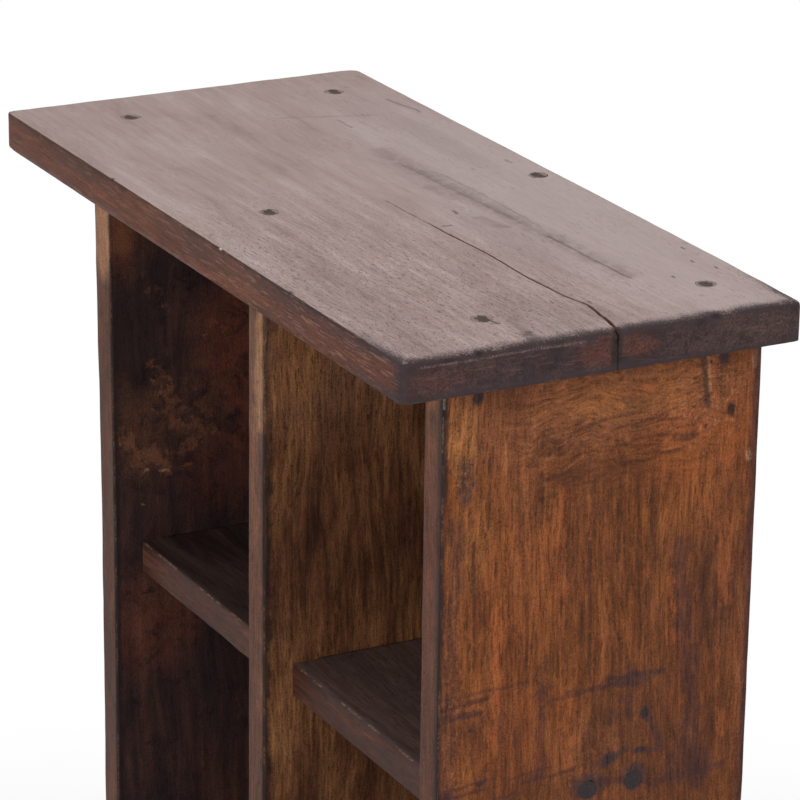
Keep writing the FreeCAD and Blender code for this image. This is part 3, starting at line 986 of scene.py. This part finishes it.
def right_side_marks(make, colour, place, faces, patchy):
    """The marks on the right side's outer face and its front edge."""
    torn, even = ragged(make, place, 8.0, 2.5), ragged(make, place, 1.8, 0.7)
    low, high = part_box("right_side")
    outer, front = on_face(0, high.x), on_face(1, low.y)
    arris, fore, rear = high.x / mm, low.y / mm, high.y / mm
    on_outer, on_front = faces
    patches = make.times(on_outer, patchy)
    flaky = make.times(on_outer, make.remap(make.cloud(place, 0.0014, 4, 0.75), 0.5, 0.68))
    long_edges = [
        ("wine", 0.8, 6.0, [(rear, 1034), (rear, 16)]), ("char", 0.7, 2.4, [(fore, 1034), (fore, 16)]),
    ]
    front_marks = [
        ("rust", 0.3, 20.0, [(arris - 8, 990), (arris - 8, 16)]),
        ("gold", 0.45, 8.0, [(arris - 9, 1034), (arris - 9, 1022)]),
        ("char", 0.75, 5.5, [(arris, 1034), (arris, 16)]),
        ("straw", 0.45, 0.9, [(arris - 0.4, 1017), (arris - 0.4, 1004)]),
    ]
    chipped = [("chip", 1.0, 1.15, [(arris, 1027), (arris, 1020.4)])]
    return paint(
        make, colour,
        (torn, outer, patches, right_clouds + right_strokes), (torn, outer, flaky, right_dust),
        (even, outer, on_outer, right_spots), (even, outer, patches, right_lines),
        (even, outer, on_outer, long_edges),
        (even, front, on_front, front_marks), (place, front, 1.0, chipped),
    )


def left_side_marks(make, colour, place, faces, patchy):
    """The burr on the left side's inner face, and the pale upper part of its front edge."""
    torn, even = ragged(make, place, 14.0, 5.0), ragged(make, place, 3.0, 1.8)
    low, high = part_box("left_side")
    inner, front, middle = on_face(0, high.x), on_face(1, low.y), (low.x + high.x) / 2 / mm
    on_outer, on_front = faces
    on_inner = make.maths("SUBTRACT", 1.0, on_outer, clamped=True)
    colour = paint(make, colour, (torn, inner, make.times(on_inner, patchy), left_clouds))
    curl = make.cloud(make.vectors("ADD", torn, make.scaled(place, 0.4)), 0.012, 5, 0.66, 0.5)
    curly = make.times(on_inner, make.remap(curl, 0.36, 0.56))
    colour = paint(make, colour, (torn, inner, curly, left_mottles))
    burr = make.times(patch_mask(make, torn, inner, 0.55, (-22, 914), (36, 32)), make.remap(curl, 0.48, 0.68))
    colour = make.tint(colour, burr, (92, 60, 42), on_inner)
    colour = make.tint(colour, make.times(make.remap(curl, 0.5, 0.3), on_inner), (30, 21, 23), 0.75)
    inner_marks = [
        ("tan", 0.75, 10.0, [(-47, 1030), (-46, 998)]),
        # A dark band down the inner face just behind its front edge.
        ("char", 0.85, 3.4, [(-52, 1034), (-52, 16)]),
    ]
    front_marks = [
        ("straw", 0.5, 16.0, [(middle, 1050), (middle, 992)]),
        ("ember", 0.3, 5.0, [(middle - 3, 1030), (middle - 2, 985)]),
    ]
    return paint(make, colour, (even, inner, on_inner, left_specks + inner_marks),
                 (even, front, on_front, front_marks))


def divider_marks(make, colour, place, faces, patchy):
    """The two tones of the divider's front edge."""
    torn = ragged(make, place, 6.0, 2.0)
    low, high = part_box("divider")
    on_right, on_front = faces
    front_marks = [
        ("straw", 0.1, 20.0, [(0, 1034), (0, 968)]),
        ("gold", 0.3, 7.0, [(4.5, 1034), (4.5, 966)]),
        ("straw", 0.28, 7.0, [(4.5, 1034), (4.5, 966)]),
        ("straw", 0.8, 1.0, [(7.0, 1000), (7.0, 978)]),
        ("ash", 0.3, 12.0, [(0, 1034), (0, 1022)]),
    ]
    right_marks = [
        ("char", 0.8, 4.5, [(-52, 1034), (-52, 16)]),
        ("ember", 0.15, 60.0, [(-20, 1030), (-20, 1000)]),
        ("straw", 0.2, 60.0, [(-20, 1030), (-20, 1000)]),
        ("gold", 0.25, 14.0, [(-38, 1020), (-36, 985)]),
    ]
    return paint(make, colour, (torn, on_face(1, low.y), on_front, front_marks),
                 (torn, on_face(0, high.x), on_right, right_marks))


def board_wood(name, marks=None):
    """The top and the base: a dull upper face made pale, partly for dust and partly as painted sheen,
    red-brown long edges and dark end grain.
    """
    material, make, shader, place, grain = new_wood(name, (0, 0.02, -0.97), wave=0.0022, streak_size=0.005)
    up = make.remap(make.facing(2), 0.6, 0.95)
    end = make.remap(make.maths("ABSOLUTE", make.facing(0)), 0.3, 0.7)
    long = make.remap(make.maths("ABSOLUTE", make.facing(1)), 0.5, 0.8)
    mixed = make.mix(0.5, grain["Streaks"], grain["Broad"])
    # The upper face's pale tones are partly dust and partly painted sheen, the light a waxed face gives back
    # at a low angle.
    face = make.tones(mixed, [(150, 127, 122), (163, 141, 136), (171, 150, 145), (179, 160, 156)])
    edge = make.tones(mixed, [(67, 41, 33), (84, 50, 39), (95, 58, 45), (112, 70, 54)])
    ends = make.tones(grain["Broad"], [(39, 27, 29), (49, 35, 36), (57, 41, 41), (72, 52, 49)])
    colour = make.blend(up, make.blend(end, edge, ends), face)
    if marks:
        patchy = make.remap(make.cloud(place, 0.004, 3, 0.6), 0.3, 0.62, 0.35, 1.0)
        colour = marks(make, colour, place, (up, end, long), patchy)

    # Coarser towards the near corner, where the dust has been rubbed off
    near = make.group("stain", Vector=place, Centre=near_spot, Reach=near_reach)["Mask"]
    coarse = make.mix(near, make.mix(up, 1.2, 0.26), 1.05)
    light = make.swayed(1.0, grain["Fibres"], coarse)
    light = make.swayed(light, grain["Grit"], make.times(coarse, make.mix(end, 1.2, 2.4)))
    colour = make.scaled(colour, light)
    thick = make.remap(make.cloud(place, 0.02), 0.42, 0.66, 0.03, make.mix(near, 0.3, 0.5))
    colour = make.tint(colour, grain["Flecks"], make.blend(up, (38, 26, 25), (108, 88, 84)), thick)
    specks = make.remap(make.cloud(place, 0.001, 3, 0.65, stretch=(0.3, 1, 1)), 0.55, 0.68)
    colour = make.tint(colour, specks, make.blend(up, (38, 27, 28), "ash"), make.mix(near, 0.05, 0.75))

    # Pale fibres on the long edges, saw marks on the ends
    pale = make.remap(make.cloud(place, 0.0007, 3, 0.6, stretch=(0.07, 1, 1)), 0.56, 0.64)
    colour = make.tint(colour, make.times(pale, long), (150, 110, 88), make.mix(near, 0.2, 0.5))
    scored = make.remap(make.cloud(place, 0.0009, stretch=(1, 0.08, 1)), 0.58, 0.7)
    colour = make.tint(colour, make.times(scored, end), (100, 78, 72), 0.35)

    gap = make.kept("arris")
    if marks:
        soiled = make.remap(make.part(place, 0), 0.13, 0.172, 0.0, 0.95)
        dusty = make.swayed(make.swayed(gap, grain["Grit"], 10.0), make.cloud(place, 0.012, 3), 9.0)
        band = make.remap(dusty, make.mix(up, 3.4, 7.0), 0.8)
        colour = make.tint(colour, band, "smoke", soiled)
    else:
        worn = make.group("arris", Vector=place, Gap=gap, Grime_Width=2.4, Rub_Width=0.9)
        colour = make.tint(colour, worn["Grime"], "soot", 0.6)
    colour = make.tint(colour, make.remap(make.kept("pit"), 0.3, 0.8), "char", 0.9)
    finish_wood(make, shader, colour, grain, roughness=(0.66, 0.8), gloss=0.22, depth=0.25 * mm)
    return material


def curly_figure(make, place, grain, mixed):
    """The grain of the right side, lying across and curly in its upper part."""
    slow = make.cloud(place, 1 / 34.0, output="Color")
    bent = make.vectors("ADD", place, make.scaled(slow, 0.02))
    ripple = make.cloud(bent, 0.0028, 4, 0.65, stretch=(1, 0.12, 1))
    crossing = make.cloud(bent, 0.0014, 3, 0.65, stretch=(1, 0.14, 1))
    centre = (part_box("right_side")[1].x + 0.01, 0.037, 1.020)
    curl = make.group("stain", Vector=bent, Centre=centre, Reach=(0.04, 0.054, 0.034), Strength=0.85)["Mask"]
    mixed = make.mix(curl, mixed, make.mix(0.4, ripple, grain["Broad"]))
    flecks = make.times(grain["Flecks"], make.maths("SUBTRACT", 1.0, curl))
    return mixed, make.mix(curl, grain["Fibres"], crossing), flecks


def upright_wood(name, shift, outer_tones, inner_tones, side, marks=None, figured=False, inner_fibres=1.6):
    """The sides and the divider: oiled orange-brown wood with darker streaks, its grain upright."""
    made = new_wood(name, shift, wave=0.003, streak_size=0.0034, turn=upright_turn)
    material, make, shader, place, grain = made
    mixed = make.mix(0.55, grain["Streaks"], grain["Broad"])
    fibres, flecks = grain["Fibres"], grain["Flecks"]
    if figured:
        mixed, fibres, flecks = curly_figure(make, place, grain, mixed)
    outer = make.remap(make.times(make.facing(0), side), -0.2, 0.2)
    inner, oiled_face = (make.tones(mixed, tones, 0.32, 0.68) for tones in (inner_tones, outer_tones))
    edge = make.tones(mixed, [(58, 36, 28), (78, 49, 37), (91, 57, 42), (112, 73, 53)])
    front = make.remap(make.maths("ABSOLUTE", make.facing(1)), 0.5, 0.85)
    colour = make.blend(front, make.blend(outer, inner, oiled_face), edge)
    blots = make.remap(make.cloud(place, 0.035, 4, 0.6, stretch=(1, 1, 0.6)), 0.6, 0.7, 0.0, 0.4)
    colour = make.blend(blots, colour, "umber")
    if marks:
        patchy = make.remap(make.cloud(place, 0.004, 3, 0.6), 0.28, 0.5, 0.5, 1.0)
        colour = marks(make, colour, place, (outer, front), patchy)
    strong = make.mix(outer, inner_fibres, make.remap(make.part(place, 2), 0.87, 1.0, 2.1, 2.4))
    light = make.swayed(make.swayed(1.0, fibres, strong), grain["Grit"], 1.8)
    light = make.swayed(light, make.cloud(place, 0.007, 4, 0.62, 0.4, stretch=(1, 1, 0.4)), 0.75)
    colour = make.scaled(colour, light)
    colour = make.tint(colour, flecks, (54, 28, 14), make.times(strong, 0.25))
    worn = make.group("arris", Vector=place, Gap=make.kept("arris"), Grime_Width=1.3, Rub_Width=0.9)
    colour = make.tint(colour, worn["Grime"], "char", 0.5)
    # Pale arrises: partly rubbed wear, partly a painted highlight along the arris.
    colour = make.tint(colour, worn["Rub"], (148, 108, 78), 0.25)
    colour = make.tint(colour, make.remap(make.kept("pit"), 0.2, 0.95), "ink", 0.7)
    finish_wood(make, shader, colour, grain, roughness=(0.52, 0.68), gloss=0.14, depth=0.2 * mm)
    return material


def shelf_wood(name):
    """The shelves: darker, with grain along the width."""
    material, make, shader, place, grain = new_wood(name, (0, 0.05, 0.013), wave=0.003, streak_size=0.005)
    mixed = make.mix(0.4, grain["Streaks"], grain["Broad"])
    face = make.tones(mixed, [(38, 27, 26), (53, 37, 34), (67, 48, 43), (88, 64, 54)])
    edge = make.tones(mixed, [(46, 26, 21), (62, 37, 29), (76, 46, 36), (98, 62, 48)])
    across = make.part(place, 0)
    # Shelves in the right column are made paler and those in the left column darker.
    face = make.blend(make.remap(across, 0.0, 0.01, 0.0, 0.25), face, "dusk")
    face = make.blend(make.remap(across, 0.0, -0.01, 0.0, 0.4), face, "char")
    colour = make.blend(make.remap(make.maths("ABSOLUTE", make.facing(1)), 0.5, 0.85), face, edge)
    colour = make.scaled(colour, make.swayed(1.0, grain["Fibres"], 1.2))
    colour = make.tint(colour, grain["Flecks"], (28, 20, 20), 0.5)
    worn = make.group("arris", Vector=place, Gap=make.kept("arris"), Grime_Width=1.2, Rub_Width=1.0)
    colour = make.tint(colour, worn["Grime"], (38, 30, 30), 0.35)
    # The upward-facing rounding of the arrises is made pale: rubbed wear, and a painted highlight where the
    # front arris catches the light.
    rubbed = make.times(worn["Rub"], make.remap(make.facing(2), 0.35, 0.7))
    colour = make.tint(colour, rubbed, (150, 118, 98), 0.6)
    finish_wood(make, shader, colour, grain, roughness=(0.52, 0.68), gloss=0.16, depth=0.2 * mm)
    return material


def back_wood(name):
    """The back boards: rougher, less oiled, and rusty round the nails."""
    made = new_wood(name, (0, -0.06, 0.02), wave=0.004, streak_size=0.007, turn=upright_turn)
    material, make, shader, place, grain = made
    mixed = make.mix(0.4, grain["Streaks"], grain["Broad"])
    colour = make.tones(mixed, [(60, 38, 30), (86, 55, 41), (106, 69, 49), (134, 94, 66)])
    colour = make.scaled(colour, make.swayed(1.0, grain["Fibres"], 1.3))
    colour = make.tint(colour, grain["Flecks"], (40, 27, 24), 0.5)
    blots = make.remap(make.cloud(place, 0.04, 4, 0.6, stretch=(1, 1, 0.5)), 0.57, 0.68, 0.0, 0.4)
    colour = make.blend(blots, colour, "umber")
    rusty = make.swayed(make.kept("pit"), make.cloud(place, 0.0018, 3, 0.6), 1.4)
    colour = make.blend(make.remap(rusty, 0.1, 0.9, 0.0, 0.8), colour, (48, 32, 28))
    finish_wood(make, shader, colour, grain, roughness=(0.6, 0.76), gloss=0.25, depth=0.3 * mm)
    return material


def filler(name, body, rim):
    """The dark filler over the screws, crumbled towards its rim."""
    material, make, shader = new_material(name)
    place = make.place()
    lumps = make.cloud(place, 0.0012, 4, 0.65)
    gap = make.swayed(make.kept("pit"), make.cloud(place, 0.003, 4, 0.6), 1.6)
    colour = make.blend(make.remap(gap, 0.66, 0.86), make.tones(lumps, body, 0.34, 0.68), rim)
    roughness = make.remap(lumps, 0.3, 0.7, 0.6, 0.85)
    finish(make, shader, colour, roughness, gloss=0.25, height=lumps, strength=0.6, depth=0.4 * mm)
    return material


def steel(name, rust):
    """Steel of the screws and nails, dulled and rusty in places."""
    material, make, shader = new_material(name)
    wide = make.cloud(make.place(), 0.003, 4, 0.6)
    rusty = make.remap(wide, 0.62 - rust, 0.7 - rust)
    make.feed(shader.inputs["Base Color"], make.blend(rusty, (150, 148, 142), (92, 56, 38)))
    make.feed(shader.inputs["Metallic"], make.maths("SUBTRACT", 1.0, rusty))
    make.feed(shader.inputs["Roughness"], make.remap(wide, 0.3, 0.7, 0.32, 0.7))
    return material


# Stage

def way_to(azimuth, elevation):
    """The direction from the object to a place round it, 0 degrees being straight in front."""
    turn, rise = math.radians(azimuth), math.radians(elevation)
    return Vector((math.sin(turn) * math.cos(rise), -math.cos(turn) * math.cos(rise), math.sin(rise)))


def photo_camera():
    """The camera, placed from the top's near corner as the photograph was taken."""
    turn, roll = math.radians(camera_azimuth), math.radians(camera_roll)
    right = Vector((math.cos(turn), math.sin(turn), 0))
    back_way = way_to(camera_azimuth, camera_elevation)
    up = back_way.cross(right)
    data = bpy.data.cameras.new("camera")
    data.lens, data.sensor_width = camera_lens, 36
    data.clip_start, data.clip_end = 0.05, 60
    camera = new_object("camera", data)
    across = right * math.cos(roll) + up * math.sin(roll)
    upward = up * math.cos(roll) - right * math.sin(roll)
    camera.matrix_world = Matrix((across, upward, back_way)).transposed().to_4x4()
    near_corner = Vector((cad_high.x, cad_low.y, cad_high.z))
    camera.location = near_corner + back_way * camera_distance + right * camera_slide + up * camera_lift
    bpy.context.scene.camera = camera


def looked_at(make):
    """Whether something is seen by the camera, in a reflection or through glass, and not only gives light."""
    seen = make.add("LightPath").outputs
    looked = make.maths("ADD", seen["Is Camera Ray"], seen["Is Glossy Ray"], clamped=True)
    return make.maths("ADD", looked, seen["Is Transmission Ray"], clamped=True)


def floor():
    """A pale round floor that fades to white away from the object."""
    bm = bmesh.new()
    bmesh.ops.create_circle(bm, cap_ends=True, segments=96, radius=floor_radius)
    mesh = bpy.data.meshes.new("floor")
    bm.to_mesh(mesh)
    bm.free()
    piece = new_object("floor", mesh)
    material, make, shader = new_material("pale_floor")
    make.feed(shader.inputs["Base Color"], tone(236, 236, 236))
    shader.inputs["Roughness"].default_value = 0.9
    shader.inputs["Specular IOR Level"].default_value = 0.0
    flat = make.vectors("MULTIPLY", make.add("TexCoord").outputs["Object"], (1, 1, 0))
    fade = make.remap(make.vectors("LENGTH", flat), *floor_fade)
    white = make.add("Emission", {"Color": (1, 1, 1, 1), "Strength": 1.0})
    share = make.times(fade, looked_at(make))
    mixed = make.add("MixShader", {0: share, 1: shader.outputs[0], 2: white.outputs[0]})
    make.feed(material.node_tree.nodes["Material Output"].inputs["Surface"], mixed.outputs[0])
    mesh.materials.append(material)


def sky():
    """White to the camera and in reflections, and an even light on the object."""
    world = bpy.data.worlds.new("sky")
    world.use_nodes = True
    bpy.context.scene.world = world
    make, nodes = Shading(world.node_tree), world.node_tree.nodes
    light = nodes["Background"]
    make.feed(light.inputs["Color"], (1, 1, 1, 1))
    light.inputs["Strength"].default_value = sky_level
    white = make.add("Background", {"Color": (1, 1, 1, 1), "Strength": 1.0})
    mixed = make.add("MixShader", {0: looked_at(make), 1: light.outputs[0], 2: white.outputs[0]})
    make.feed(nodes["World Output"].inputs["Surface"], mixed.outputs[0])


def lamp(name, azimuth, elevation, size, power):
    """A soft square lamp that looks at the upper half of the object."""
    data = bpy.data.lights.new(name, "AREA")
    data.shape, data.size, data.energy = "SQUARE", size, power
    way = way_to(azimuth, elevation)
    piece = new_object(name, data)
    piece.location = lamp_aim + way * lamp_reach
    piece.rotation_mode = "QUATERNION"
    piece.rotation_quaternion = (-way).to_track_quat("-Z", "Y")


bpy.context.scene.view_settings.view_transform = "Standard"
photo_camera()
floor()
sky()
lamp("front_lamp", azimuth=40, elevation=30, size=1.6, power=22)
lamp("right_lamp", azimuth=95, elevation=35, size=1.6, power=14)
lamp("left_lamp", azimuth=-60, elevation=30, size=2.0, power=6)

groups = {"grain": grain_group(), "ragged": ragged_group(), "stain": stain_group(), "stroke": stroke_group(),
          "arris": arris_group()}

# The three woods of the uprights, from dark to light: oiled outside, plain inside, and grimy on the left
oiled = [(66, 34, 16), (92, 49, 22), (111, 62, 31), (129, 75, 41), (156, 97, 60)]
shaded = [(52, 31, 24), (76, 46, 31), (98, 62, 40), (120, 80, 51), (142, 98, 64)]
gloom = [(32, 24, 26), (43, 30, 31), (54, 36, 34), (67, 44, 38), (86, 57, 43)]
right_wood = upright_wood("right_side_wood", (0.0, -0.06, 0.19), oiled, shaded, side=1.0,
                          marks=right_side_marks, figured=True)
divider_wood = upright_wood("divider_wood", (0.3, -0.05, 0.03), shaded, shaded, side=1.0, marks=divider_marks)
left_wood = upright_wood("left_side_wood", (0.6, -0.07, -0.1), oiled, gloom, side=-1.0,
                         marks=left_side_marks, inner_fibres=0.5)

top_board(board_wood("top_wood", top_marks))
base_board(board_wood("base_wood"))
upright("right_side", "weathered_right_side", right_wood, seed=31, plugs="right_side_plugs")
upright("divider", "weathered_divider", divider_wood, seed=41)
upright("left_side", "weathered_left_side", left_wood, seed=51, plugs="left_side_plugs", is_cast=True)
shelf_finish, back_finish = shelf_wood("shelf_wood"), back_wood("back_wood")
for column_number, column in enumerate(("left", "right")):
    for number in range(1, 6):
        name = f"{column}_shelf_{number}"
        shelf(name, "weathered_" + name, shelf_finish, 60 + 7 * column_number + 13 * number)
    name = column + "_back"
    back(name, "weathered_" + name, back_finish, 90 + 5 * column_number, name + "_nails")

top_filler = filler("top_plug_filler", [(44, 33, 26), (66, 52, 42), (98, 80, 64)], (140, 119, 114))
side_filler = filler("side_plug_filler", [(31, 25, 27), (41, 33, 34), (60, 48, 45)], (46, 35, 37))
plugs("top_plugs", "top_filler", top_filler, axis=2, first_seed=0.0, step=3.7)
plugs("right_side_plugs", "right_filler", side_filler, axis=0, first_seed=31.0, step=2.3)
plugs("left_side_plugs", "left_filler", side_filler, axis=0, first_seed=51.0, step=2.3)
screw_steel, nail_steel = steel("screw_steel", 0.0), steel("nail_steel", 0.12)
for name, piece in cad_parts.items():
    if name.endswith(("screws", "nails")):
        piece.data.materials.clear()
        piece.data.materials.append(nail_steel if name.endswith("nails") else screw_steel)
